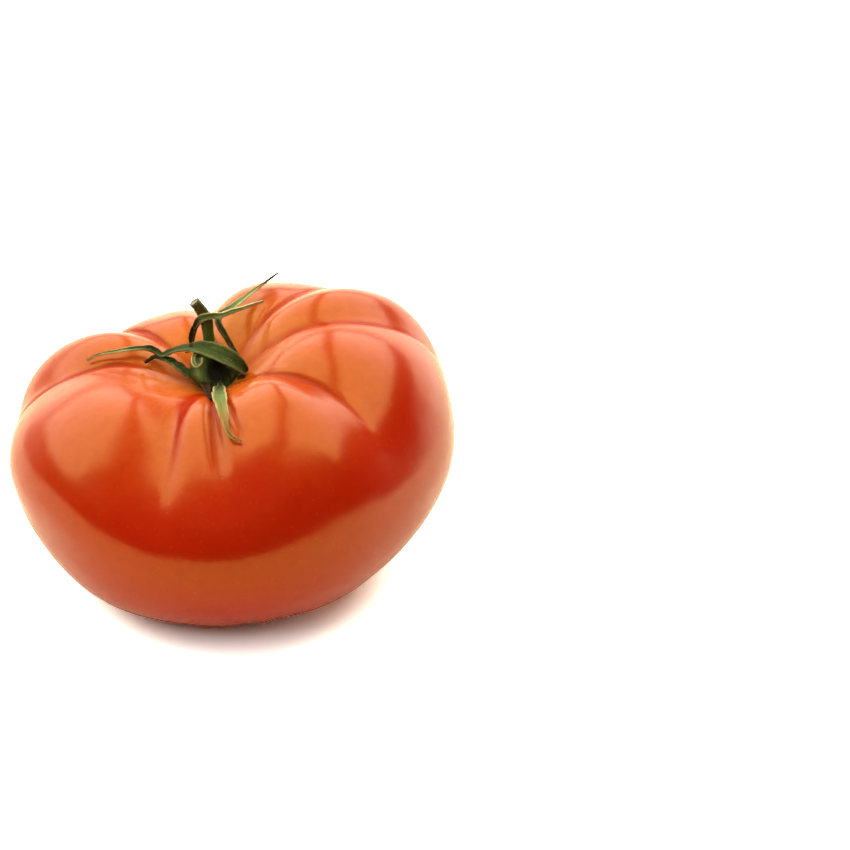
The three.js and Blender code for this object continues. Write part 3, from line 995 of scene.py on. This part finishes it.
SEPALS = (
    Sepal(
        "left_upper",
        (
            (-1.2, 1.4, 52.6), (-3.3, 1.9, 53.3), (-5.5, 2.5, 52.7), (-7.8, 3.9, 51.8),
            (-10.0, 4.9, 50.6), (-11.7, 5.1, 49.8), (-12.8, 5.6, 50.4), (-14.2, 5.9, 51.0),
            (-15.8, 6.1, 51.1), (-18.4, 5.8, 51.1), (-21.1, 5.5, 50.9), (-23.7, 6.0, 50.3),
            (-25.9, 6.6, 49.5), (-27.8, 7.0, 48.2),
        ),
        width=2.1, widest=0.2, face=(0.0, -0.3, 1.0), roll=0.9, seed=21, tip_width=0.35,
        pale=(0.15, 0.2, 0.2, 0.1, 0.05, 0.35, 0.6, 0.75, 0.7),
        dry=(0.0, 0.05, 0.1, 0.2, 0.5, 0.1, 0.15, 0.35, 0.7),
    ),
    Sepal(
        "left_lower",
        (
            (-1.2, 0.4, 47.2), (-4.4, 0.2, 46.7), (-6.3, 0.8, 47.4), (-7.9, 2.0, 48.2),
            (-9.7, 3.6, 48.9), (-11.8, 4.4, 49.6), (-13.2, 4.2, 50.0), (-14.3, 3.5, 49.7),
            (-15.4, 3.1, 49.2),
        ),
        width=2.2, widest=0.45, face=(0.2, -0.4, 1.0), roll=0.9, seed=22, pale=(0.15, 0.1, 0.05, 0.05),
        dry=(0.0, 0.1, 0.35, 0.9),
    ),
    Sepal(
        "front",
        (
            (0.2, 0.6, 46.2), (0.5, -5.0, 47.3), (0.4, -9.0, 48.4), (0.3, -13.5, 50.1),
            (0.3, -18.0, 51.4), (0.3, -21.3, 52.0), (0.6, -24.3, 51.9), (1.1, -27.8, 51.1),
            (1.5, -30.0, 50.1), (1.9, -31.5, 49.1), (2.5, -32.4, 48.5), (3.5, -32.9, 48.1),
            (4.7, -33.1, 47.8),
        ),
        width=3.1, widest=0.58, face=(0.0, 0.0, 1.0), opens_from=-0.1, roll=1.0, seed=23, tip_width=0.35,
        pale=(0.0, 0.05, 0.1, 0.4, 0.85, 1.0, 0.7), dry=(0.0, 0.0, 0.0, 0.05, 0.3, 0.75, 1.0),
    ),
    Sepal(
        "front_stub",
        (
            (-1.6, -0.6, 46.3), (-2.6, -4.5, 47.2), (-2.5, -8.0, 48.0), (-2.1, -12.5, 48.9),
            (-1.4, -17.7, 50.1),
        ),
        width=2.2, widest=0.3, face=(0.0, -0.2, 1.0), roll=1.0, seed=28, pale=(0.0, 0.05, 0.0),
        dry=(0.7, 0.9, 1.0),
    ),
    Sepal(
        "right_tall",
        (
            (4.9, -2.0, 48.9), (4.7, -1.3, 50.6), (4.1, -0.1, 52.0), (2.9, 1.4, 53.5), (1.8, 2.6, 55.1),
            (0.8, 3.8, 56.4), (0.3, 5.1, 57.5), (1.0, 7.0, 58.2), (2.9, 10.4, 57.9), (6.2, 16.0, 58.0),
            (10.0, 21.0, 58.8), (13.5, 25.0, 59.8),
        ),
        width=1.7, widest=0.55, face=(0.6, -0.8, 0.2), twist=-60.0, opens_from=-0.3, roll=0.8, seed=24,
        tip_width=0.4, pale=(0.1, 0.1, 0.15, 0.35, 0.75, 0.9, 0.5, 0.1),
        dry=(0.5, 0.6, 0.5, 0.2, 0.0, 0.15, 0.75, 1.0),
    ),
    Sepal(
        "round_the_stem",
        (
            (-1.8, 3.6, 48.5), (-4.6, 4.3, 51.0), (-5.3, 4.5, 53.2), (-4.9, 4.4, 55.4),
            (-4.2, 2.6, 57.9), (-3.3, 0.6, 60.0), (-2.1, -0.3, 60.9), (-0.6, 0.3, 60.8),
            (0.9, 3.2, 59.5), (2.9, 6.6, 58.8), (5.6, 10.4, 58.0), (8.4, 14.0, 57.4), (10.2, 15.9, 57.1),
        ),
        width=1.6, widest=0.35, face=(-0.7, -0.7, 0.2), twist=-60.0, roll=0.7, seed=25, tip_width=0.4,
        pale=(0.1, 0.1, 0.2, 0.45, 0.9, 0.9, 0.8, 0.7), dry=(0.3, 0.6, 0.6, 0.3, 0.0, 0.0, 0.15, 0.6),
    ),
    Sepal(
        "over_the_hub",
        (
            (-5.9, 1.9, 52.4), (-4.4, 0.3, 53.5), (-2.3, -1.4, 53.9), (0.2, -2.8, 53.6),
            (2.9, -3.5, 52.3), (4.8, -3.2, 50.5), (5.7, -2.2, 48.8), (4.4, -0.7, 46.9),
        ),
        width=4.0, widest=0.5, face=(0.1, -0.6, 0.8), roll=0.7, ripple=0.04, seed=26, tip_width=1.4,
        pale=(0.2, 0.2, 0.15, 0.15, 0.1), dry=(0.0, 0.05, 0.2, 0.35, 0.6),
    ),
    Sepal(
        "curled_bract",
        (
            (-4.5, -0.6, 53.0), (-5.0, -1.9, 52.4), (-5.0, -3.0, 51.6), (-4.4, -3.7, 51.2),
            (-3.6, -3.6, 51.8), (-3.3, -3.1, 52.8),
        ),
        width=0.8, widest=0.5, face=(-0.3, -1.0, 0.0), roll=0.8, ripple=0.03, seed=29, tip_width=0.5,
        pale=(0.6, 1.0, 1.0, 0.9), dry=(0.0, 0.0, 0.2, 0.3),
    ),
    Sepal(
        "rear_short",
        (
            (-1.2, 3.8, 49.0), (-1.4, 7.2, 50.6), (-1.6, 10.8, 50.4), (-2.0, 13.6, 51.4),
        ),
        width=3.0, widest=0.4, face=(0.0, 0.2, 1.0), roll=0.8, seed=27, pale=(0.2, 0.3, 0.4),
        dry=(0.1, 0.3, 0.9),
    ),
)


@dataclass(frozen=True)
class LeafFinish:
    """The colours of a calyx that has partly dried, and the painted shade of its hub's pocket and sepals'
    feet.
    """

    dark: Colour = (0.006, 0.013, 0.001)
    green: Colour = (0.044, 0.080, 0.008)
    pale: Colour = (0.20, 0.28, 0.07)
    cream: Colour = (0.50, 0.42, 0.20)
    brown: Colour = (0.029, 0.013, 0.003)
    straw: Colour = (0.33, 0.19, 0.05)
    # Painted shade: a near-black for the hub's pocket and the sepals' feet.
    pocket_shade: Colour = (0.011, 0.0115, 0.006)
    gloss_tint: Colour = (1.0, 0.95, 0.4)
    roughness: float = 0.55

    def material(self) -> bpy.types.Material:
        """Builds the material of the sepals and the hub.

        Returns:
            The material.
        """
        s = Shader("calyx_leaf")
        pale, dry, deep, edge = map(s.attribute, ("pale", "dry", "deep", "edge"))
        place, blade = s.place(), s.blade_map()
        fibre = s.group(Effect.FIBRE.tree(), Place=place, Way=s.scaled(blade, (9.0, 1.2, 1.0)))
        veins, patches = fibre["Strands"], fibre["Patches"]
        lines = s.ramp(s.noise(s.scaled(blade, (7.0, 0.35, 1.0)), 1.0, 2.0), 0.44, 0.56)
        green = s.mix(s.ramp(patches, 0.3, 0.7), self.dark, self.green)
        striped = s.mix(s.product(lines, 0.88), green, self.dark)
        lit = s.mix(s.product(pale, s.ramp(veins, 0.25, 0.6, 0.6, 1.0)), striped, self.pale)
        rim = s.product(s.ramp(edge, 0.45, 0.95), s.ramp(pale, 0.1, 0.8, 0.1, 0.75))
        rimmed = s.mix(rim, lit, self.cream)
        withered = s.ramp(s.uneven(dry, patches, 0.8), 0.25, 0.75)
        dried = s.mix(withered, rimmed, s.mix(s.ramp(pale, 0.35, 0.8), self.brown, self.straw))
        normal = s.relief(lines, 0.12, 1.0, fibre["Normal"])
        grain = s.group(Effect.GRAIN.tree(), Place=place, Scale=GREEN_GRAIN, Strength=1.0, Under=normal)
        # Painted shade: the pocket and the sepals' feet are mixed towards near-black and their gloss is
        # dimmed.
        gloss = s.product(s.ramp(deep, 0.0, 0.8, 0.25, 0.02), s.ramp(dry, 0.3, 1.0, 1.0, 0.3))
        s.set(
            Base_Color=s.mix(deep, dried, self.pocket_shade),
            Roughness=s.ramp(patches, 0.3, 0.7, self.roughness - 0.1, self.roughness + 0.15),
            Specular_IOR_Level=gloss,
            Specular_Tint=self.gloss_tint,
            Normal=grain["Normal"],
        )
        return s.material


@dataclass(frozen=True)
class Patch:
    """A patch on the hub: its azimuth and half width in degrees, and its height as a share of the hub's."""

    azimuth: float
    width: float
    height: float
    spread: float = 0.26

    def share(self, azimuth: Array, height: Array) -> Array:
        """How far each point lies in the patch, from 0 to 1."""
        across = bump(0, math.radians(self.width), turned(azimuth, self.azimuth))
        return across * bump(self.height, self.spread, height)


@dataclass
class Calyx:
    """The calyx: a ribbed hub over the stem end, and the sepals that spring from it."""

    sepals: tuple[Sepal, ...] = SEPALS
    finish: LeafFinish = field(default_factory=LeafFinish)
    hub_foot: Point = (0.1, 0.9, 43.8)
    hub_tip: Point = (-1.8, 2.3, 54.0)
    hub_radius: float = 5.3
    hub_taper: float = 0.45
    hub_ribs: int = 7
    hub_rib_height: float = 0.45
    hub_strand_height: float = 0.05
    pocket: Patch = Patch(284.0, 38.0, 0.5)
    pocket_depth: float = 0.5
    bulge: Patch = Patch(232.0, 22.0, 0.45)
    bulge_height: float = 0.07
    blade_thickness: float = 0.42
    blade_columns: int = 10
    blade_rows: int = 84

    def build(self) -> Piece:
        """Models the hub and the sepals, joins them and dresses them.

        Returns:
            The calyx.
        """
        pieces = [self.hub()] + [self.sepal(sepal) for sepal in self.sepals]
        pick(pieces[0])
        for piece in pieces[1:]:
            piece.select_set(True)
        bpy.ops.object.join()
        calyx = new_piece("calyx_leaves")
        shade_smooth(calyx, 60.0)
        settle(calyx, Node.CALYX, self.finish.material())
        return calyx

    def hub(self) -> Piece:
        """A leaning ribbed cone with a bulge at its left front and a pocket at its front right, painted in
        shade.

        Returns:
            The hub.
        """
        deselect_all()
        bpy.ops.mesh.primitive_uv_sphere_add(segments=112, ring_count=64, radius=1.0)
        hub = new_piece("hub")
        ball = read_points(hub)
        share = (ball[:, 2] + 1) / 2
        azimuth = np.arctan2(ball[:, 1], ball[:, 0])
        taper = self.hub_radius * (1 - self.hub_taper * smoothstep(0.35, 1, share))
        ribs = self.hub_rib_height * np.cos(self.hub_ribs * azimuth) * (1 - share)
        strands = np.sin(31 * azimuth + 2.0 * np.sin(3 * azimuth)) * smoothstep(0.3, 0.6, share)
        pocket, bulge = self.pocket.share(azimuth, share), self.bulge.share(azimuth, share)
        reach = np.hypot(ball[:, 0], ball[:, 1]) ** 0.7 * (taper + ribs + self.hub_strand_height * strands)
        reach = reach * (1 - self.pocket_depth * pocket) * (1 + self.bulge_height * bulge)
        foot, tip = np.array(self.hub_foot), np.array(self.hub_tip)
        points = foot + (tip - foot) * share[:, None]
        points = points + np.stack([reach * np.cos(azimuth), reach * np.sin(azimuth), 0 * reach], -1)
        points[:, 2] += 0.12 * wavy(points, 31, 8, 2.2)
        write_points(hub, points)
        pale = np.clip(0.1 + 0.2 * wavy(points, 32, 8, 3.0) + 0.55 * bulge, 0, 1)
        dry = np.clip(0.25 - share * 0.3 + 0.2 * wavy(points, 33, 8, 4.0), 0, 1)
        # Painted shade in the pocket.
        add_values(hub, pale=pale, edge=0 * share, dry=dry, deep=smoothstep(0.1, 0.6, pocket))
        map_blade(hub, azimuth * 0.9, share * 2)
        clean_mesh(hub)
        return hub

    def sepal(self, sepal: Sepal) -> Piece:
        """One sepal: a strip bent along its midrib, creased, rolled, rippled and given its thickness.

        Args:
            sepal: the sepal.

        Returns:
            Its piece.
        """
        deselect_all()
        steps = self.blade_rows
        bpy.ops.mesh.primitive_grid_add(x_subdivisions=self.blade_columns, y_subdivisions=steps, size=2)
        piece = new_piece("sepal_" + sepal.name)
        flat = read_points(piece)
        across, share = flat[:, 0], (flat[:, 1] + 1) / 2
        line = smooth_line(sepal.midrib, steps)
        along, faces = carried_faces(line, sepal.face)
        faces = turn(faces, along, np.radians(sepal.twist) * np.linspace(0, 1, steps + 1))
        sideways = np.cross(along, faces)
        row = np.clip(np.round(share * steps).astype(int), 0, steps)
        half, up = sepal.section(across, share)
        write_points(piece, line[row] + sideways[row] * half[:, None] + faces[row] * up[:, None])
        edge = np.abs(across) ** 2
        pale, dry = (np.interp(share, np.linspace(0, 1, len(key)), key) for key in (sepal.pale, sepal.dry))
        pale, dry = np.clip(pale * (0.75 + 0.35 * edge), 0, 1), np.clip(dry, 0, 1)
        # Painted shade at the sepal's foot, where it springs from the hub.
        add_values(piece, pale=pale, edge=edge, dry=dry, deep=0.6 * (1 - smoothstep(0.02, 0.12, share)))
        map_blade(piece, across + sepal.seed * 3.7, share * 4 + sepal.seed)
        thickness = self.blade_thickness * MM
        apply_modifier(piece, "SOLIDIFY", thickness=thickness, offset=0.0, use_even_offset=False)
        apply_modifier(piece, "SUBSURF", levels=1, render_levels=1)
        clean_mesh(piece)
        return piece


# The stem


@dataclass(frozen=True)
class StemFinish:
    """The colours of the stub of stem."""

    green: Colour = (0.038, 0.080, 0.005)
    olive: Colour = (0.042, 0.026, 0.005)
    strand: Colour = (0.085, 0.11, 0.03)
    cut: Colour = (0.165, 0.155, 0.105)
    pith: Colour = (0.28, 0.27, 0.19)
    gloss_tint: Colour = (1.0, 0.95, 0.4)
    roughness: float = 0.5

    def material(self) -> bpy.types.Material:
        """Builds the stem's material.

        Returns:
            The material.
        """
        s = Shader("stem_bark")
        cut, pith = map(s.attribute, ("cut", "pith"))
        place, blade = s.place(), s.blade_map()
        fibre = s.group(Effect.FIBRE.tree(), Place=place, Way=s.scaled(blade, (14.0, 1.5, 1.0)))
        strands, patches = fibre["Strands"], fibre["Patches"]
        height = s.ramp(s.part(blade, "Y"), 2.6, 3.6, 0.0, 0.8)
        ageing = s.math("ADD", height, s.ramp(patches, 0.35, 0.7, -0.1, 0.35))
        bark = s.mix(s.ramp(ageing, 0.0, 1.0), self.green, self.olive)
        lined = s.mix(s.ramp(strands, 0.5, 0.75, 0.0, 0.45), bark, self.strand)
        under = fibre["Normal"]
        grain = s.group(Effect.GRAIN.tree(), Place=place, Scale=GREEN_GRAIN, Strength=1.0, Under=under)
        s.set(
            Base_Color=s.mix(cut, lined, s.mix(pith, self.cut, self.pith)),
            Roughness=self.roughness,
            Specular_IOR_Level=0.3,
            Specular_Tint=self.gloss_tint,
            Normal=grain["Normal"],
        )
        return s.material


@dataclass
class Stem:
    """The stub of stem: round, lightly ribbed, swollen at its knuckle and cut off cleanly."""

    line: tuple[Point, ...] = (
        (-1.6, 2.3, 51.8), (-1.6, 2.3, 54.4), (-1.8, 2.4, 56.6), (-2.0, 2.4, 58.6), (-2.5, 2.4, 60.1),
        (-3.4, 2.45, 61.6), (-4.6, 2.4, 63.2),
    )
    radius: float = 1.15
    knuckle_swell: float = 0.2
    knuckle_place: float = 0.62
    knuckle_length: float = 0.12
    knuckle_pinch: float = 0.09
    sides: int = 40
    steps: int = 60
    ribs: int = 5
    rib_height: float = 0.07
    strand_height: float = 0.02
    cut_rings: tuple[float, ...] = (0.96, 0.85, 0.85, 0.8, 0.7, 0.5)
    dish_depth: float = 0.32
    dish_rim: float = 0.10
    finish: StemFinish = field(default_factory=StemFinish)

    def build(self) -> Piece:
        """Draws a ring out along the stem's line, closes it with a dished cut and dresses it.

        Returns:
            The stem.
        """
        deselect_all()
        bpy.ops.mesh.primitive_circle_add(vertices=self.sides, radius=1.0, fill_type="NOTHING")
        stem = new_piece("stem_stub")
        bpy.ops.object.mode_set(mode="EDIT")
        bpy.ops.mesh.select_all(action="SELECT")
        for _ in range(self.steps):
            bpy.ops.mesh.extrude_region_move(TRANSFORM_OT_translate={"value": (0, 0, 1.0 / self.steps)})
        for share in self.cut_rings:
            bpy.ops.mesh.extrude_region_move(TRANSFORM_OT_translate={"value": (0, 0, 0)})
            bpy.ops.transform.resize(value=(share, share, 1), center_override=(0, 0, 1))
        bpy.ops.mesh.edge_face_add()
        bpy.ops.mesh.select_all(action="DESELECT")
        bpy.ops.mesh.select_mode(type="VERT")
        bpy.ops.mesh.select_non_manifold()
        bpy.ops.mesh.edge_face_add()
        bpy.ops.object.mode_set(mode="OBJECT")
        self.bend(stem)
        clean_mesh(stem)
        shade_smooth(stem, 40.0)
        settle(stem, Node.STEM, self.finish.material())
        return stem

    def bend(self, stem: Piece) -> None:
        """Moves the straight tube onto the stem's line and gives it its ribs, knuckle and cut.

        Args:
            stem: the tube, one unit tall.
        """
        tube = read_points(stem)
        share, within = np.clip(tube[:, 2], 0, 1), np.hypot(tube[:, 0], tube[:, 1])
        angle = np.arctan2(tube[:, 1], tube[:, 0])
        line = smooth_line(self.line, self.steps)
        along, faces = carried_faces(line, (0.0, -1.0, 0.0))
        steps = np.linspace(0, 1, self.steps + 1)
        middle, ahead, face, side = (
            np.stack([np.interp(share, steps, rows[:, k]) for k in range(3)], -1)
            for rows in (line, along, faces, np.cross(along, faces))
        )
        knuckle = self.knuckle_swell * bump(self.knuckle_place, self.knuckle_length, share)
        pinch = self.knuckle_pinch * bump(self.knuckle_place + 0.02, 0.014, share)
        ribs = self.rib_height * np.cos(self.ribs * angle + 2.2 * share)
        strands = self.strand_height * np.sin(23 * angle + 5 * share)
        reach = (self.radius * (1 + knuckle - pinch) + ribs + strands) * within
        dish = self.dish_rim * bump(0.62, 0.12, within) - self.dish_depth * (1 - within**2)
        dish = np.where((share > 0.999) & (within < 0.99), dish, 0.0)
        outward = face * np.cos(angle)[:, None] + side * np.sin(angle)[:, None]
        write_points(stem, middle + ahead * dish[:, None] + outward * reach[:, None])
        skinned = smoothstep(0.955, 0.985, share + 0.012 * np.sin(5 * angle)) * (share < 0.999)
        cut = np.maximum(smoothstep(1.0, 0.93, within) * (share > 0.999), 0.7 * skinned)
        add_values(stem, cut=cut, pith=1 - smoothstep(0.35, 0.6, within))
        map_blade(stem, angle * 3, share * 5)


@dataclass
class Hairs:
    """The fine short hairs of the calyx or of the stem."""

    name: str
    slot: Slot
    count: int
    colour: Colour
    seed: int
    length: float = 0.55
    thickness: float = 0.045
    root: float = 0.08
    tilt: float = 0.35
    pale_factor: float = 1.6

    def build(self, host: Piece) -> Piece:
        """Sets hairs on a piece.

        Args:
            host: the piece that they grow on.

        Returns:
            The piece that holds them.
        """
        rng = np.random.default_rng(self.seed)
        spots = read_points(host) / MM
        normals = np.zeros(len(spots) * 3)
        host.data.vertex_normals.foreach_get("vector", normals)
        normals = normals.reshape(-1, 3)
        chosen = rng.choice(self.open_spots(host), self.count, replace=False)
        deselect_all()
        bpy.ops.mesh.primitive_cone_add(vertices=3, radius1=1.0, radius2=0.0, depth=1.0)
        piece = new_piece(self.name)
        cone = read_points(piece)
        cone[:, 2] += 0.5
        faces = [tuple(face.vertices) for face in piece.data.polygons]
        points, sides = [], []
        for index in chosen:
            out = unit(normals[index] + rng.normal(size=3) * self.tilt)
            first = unit(np.cross(out, rng.normal(size=3)))
            second = np.cross(out, first)
            size = self.length * rng.uniform(0.5, 1.2)
            foot = spots[index] - out * self.root
            sides += [tuple(len(points) + i for i in face) for face in faces]
            for x, y, z in cone:
                points.append((foot + (first * x + second * y) * self.thickness + out * z * size) * MM)
        piece.data.clear_geometry()
        piece.data.from_pydata([tuple(point) for point in points], [], sides)
        piece.data.update()
        s = Shader(self.name)
        place = s.place()
        patches = s.group(Effect.FIBRE.tree(), Place=place, Way=place)["Patches"]
        tone = s.mix(patches, self.colour, tuple(c * self.pale_factor for c in self.colour))
        s.set(Base_Color=tone, Roughness=0.5)
        settle(piece, None, s.material)
        return piece

    @staticmethod
    def open_spots(host: Piece) -> Array:
        """Finds the vertices that lie neither in a hollow painted in shade nor on a withered or cut part.

        Args:
            host: the piece that the hairs grow on.

        Returns:
            The numbers of those vertices.
        """
        bare = np.zeros(len(host.data.vertices))
        for name, most in (("deep", 0.2), ("dry", 0.6), ("cut", 0.1)):
            if name in host.data.attributes:
                values = np.zeros(len(bare), np.float32)
                host.data.attributes[name].data.foreach_get("value", values)
                bare += values > most
        return np.flatnonzero(bare == 0)


# The room


def hang_light(name: str, size: tuple[float, float], place: Point, brightness: float) -> Piece:
    """Hangs a lit rectangle that the camera doesn't see.

    Args:
        name: its name.
        size: its width and length in metres.
        place: its middle in metres.
        brightness: how bright its face is.

    Returns:
        The lamp, facing down.
    """
    light = bpy.data.lights.new(name, "AREA")
    light.shape = "RECTANGLE"
    light.size, light.size_y = size
    light.energy = brightness * math.pi * size[0] * size[1]
    lamp = bpy.data.objects.new(name, light)
    bpy.context.scene.collection.objects.link(lamp)
    lamp.location = place
    lamp.visible_camera = False
    return lamp


def aim_at(holder: Piece, target: Vector) -> None:
    """Turns a lamp or a camera so that it looks at a place."""
    holder.rotation_euler = (target - holder.location).to_track_quat("-Z", "Y").to_euler()


@dataclass(frozen=True)
class SoftBox:
    """A lit rectangle overhead. Its edges are shares of its height over the table."""

    name: str
    left: float
    right: float
    front: float
    back: float
    brightness: float


@dataclass
class Room:
    """A pale table under wide soft boxes with a dim gap between them, and a light wall behind."""

    height: float = 1.2
    boxes: tuple[SoftBox, ...] = (
        SoftBox("soft_box_left", -2.2, -0.07, -0.15, 2.35, 4.0),
        SoftBox("soft_box_right", 0.1, 1.15, -0.3, 2.35, 4.2),
        SoftBox("soft_box_low_left", -2.1, -0.03, -0.1, 0.45, 3.2),
        SoftBox("soft_box_low_right", 0.1, 1.1, -0.1, 0.45, 3.2),
    )
    table_front: float = -0.165
    table_left: float = -1.5
    table_right: float = 0.19
    table_back: float = 3.0
    table_tone: Colour = (0.93, 0.92, 0.66)
    table_seen: Colour = (2.15, 2.5, 2.45)
    fill: float = 3.4
    fill_size: tuple[float, float] = (1.4, 0.8)
    fill_place: Point = (-0.25, -0.9, 0.98)
    warm: Colour = (1.0, 0.9, 0.76)
    wall_warm: Colour = (1.0, 0.85, 0.62)
    white: Colour = (1.0, 1.0, 1.0)
    dim: float = 0.06
    wall: float = 3.3
    wall_top: tuple[float, float] = (0.24, 0.33)
    wall_back: tuple[float, float] = (0.1, 0.7)
    wall_left: tuple[float, float] = (-0.75, -0.3)
    wall_left_share: float = 0.35
    background: float = 1.2

    def build(self) -> None:
        """Builds the table, the soft boxes, the fill and the surroundings."""
        self.table()
        for box in self.boxes:
            self.soft_box(box)
        self.front_fill()
        self.surroundings()

    def table(self) -> None:
        """The table: a pale plane that looks white to the camera."""
        deselect_all()
        bpy.ops.mesh.primitive_plane_add(size=1)
        table = new_piece("table_top")
        points = read_points(table) + (0.5, 0.5, 0.0)
        points *= (self.table_right - self.table_left, self.table_back - self.table_front, 1.0)
        write_points(table, (points + (self.table_left, self.table_front, 0.0)) / MM)
        s = Shader("pale_table")
        seen = s.result("ShaderNodeLightPath", "Is Camera Ray", {})
        tone = s.mix(seen, self.table_tone, self.table_seen)
        matt = s.result("ShaderNodeBsdfDiffuse", 0, {"Color": tone})
        s.put(s.tree.nodes["Material Output"].inputs["Surface"], matt)
        table.data.materials.append(s.material)

    def soft_box(self, box: SoftBox) -> None:
        """Hangs one soft box over the table.

        Args:
            box: the soft box.
        """
        size = (box.right - box.left) * self.height, (box.back - box.front) * self.height
        middle = Vector((box.left + box.right, box.front + box.back, 2.0)) / 2 * self.height
        hang_light(box.name, size, middle, box.brightness).data.color = self.warm

    def front_fill(self) -> None:
        """A wide weak light in front that opens the shadow under the fruit and doesn't show in its gloss."""
        lamp = hang_light("front_fill", self.fill_size, self.fill_place, self.fill)
        aim_at(lamp, Vector((0, 0, 0)))
        lamp.visible_glossy = False

    def surroundings(self) -> None:
        """A low light wall behind and a dim room elsewhere, with a plain background in the picture."""
        world = bpy.data.worlds.new("room")
        bpy.context.scene.world = world
        world.use_nodes = True
        world.node_tree.nodes.clear()
        sky = Nodes(world.node_tree)
        way = sky.place("Generated")
        behind = sky.ramp(sky.part(way, "Y"), *self.wall_back, self.dim, self.wall)
        beside = sky.ramp(sky.part(way, "X"), *self.wall_left, self.wall_left_share, 1.0)
        low = sky.ramp(sky.part(way, "Z"), *self.wall_top, 1.0, 0.0)
        wall = sky.math("MAXIMUM", sky.product(behind, beside, low), self.dim)
        seen = sky.result("ShaderNodeLightPath", "Is Camera Ray", {})
        unseen = sky.product(wall, sky.math("SUBTRACT", 1.0, seen))
        strength = sky.math("MULTIPLY_ADD", seen, self.background, unseen)
        tone = sky.mix(seen, self.wall_warm, self.white)
        light = sky.result("ShaderNodeBackground", 0, {"Color": tone, "Strength": strength})
        sky.put(sky.node("ShaderNodeOutputWorld").inputs[0], light)


@dataclass
class View:
    """The camera, at the height and distance that the proportions in the photograph call for."""

    image_side: int = 850
    sensor: float = 36.0
    distance: float = 0.8
    elevation: float = 26.0
    metres_per_pixel: float = 0.000214
    fruit_pixel: tuple[float, float] = (232.3, 446.8)
    clip_end: float = 20.0

    def build(self, centre: Point) -> None:
        """Makes the camera so that the fruit's middle falls near its place in the picture.

        Args:
            centre: the fruit's middle, in millimetres.
        """
        tilt = math.radians(self.elevation)
        middle = Vector(centre) * MM
        back = Vector((0, -math.cos(tilt), math.sin(tilt)))
        up = Vector((0, math.sin(tilt), math.cos(tilt)))
        half = self.image_side / 2
        right_shift = (half - self.fruit_pixel[0]) * self.metres_per_pixel
        up_shift = (self.fruit_pixel[1] - half) * self.metres_per_pixel
        camera = bpy.data.cameras.new("camera")
        camera.sensor_width = self.sensor
        camera.lens = self.distance / self.metres_per_pixel / self.image_side * self.sensor
        camera.clip_end = self.clip_end
        holder = bpy.data.objects.new("camera", camera)
        bpy.context.scene.collection.objects.link(holder)
        holder.location = middle + back * self.distance
        aim_at(holder, middle + Vector((right_shift, 0, 0)) + up * up_shift)
        bpy.context.scene.camera = holder


def main() -> None:
    """Builds the tomato, its room and the camera."""
    logging.basicConfig(level=logging.INFO, format="%(name)s: %(message)s")
    settings = bpy.context.scene.view_settings
    settings.view_transform = "Standard"
    settings.look = "None"
    fruit = Fruit()
    fruit.build()
    calyx = Calyx().build()
    stem = Stem().build()
    Hairs("calyx_hairs", Slot.LEAF, 1100, (0.10, 0.13, 0.04), seed=5).build(calyx)
    Hairs("stem_hairs", Slot.STEM, 320, (0.10, 0.12, 0.04), seed=6).build(stem)
    Room().build()
    View().build(fruit.form.centre)


if __name__ == "__main__":
    main()
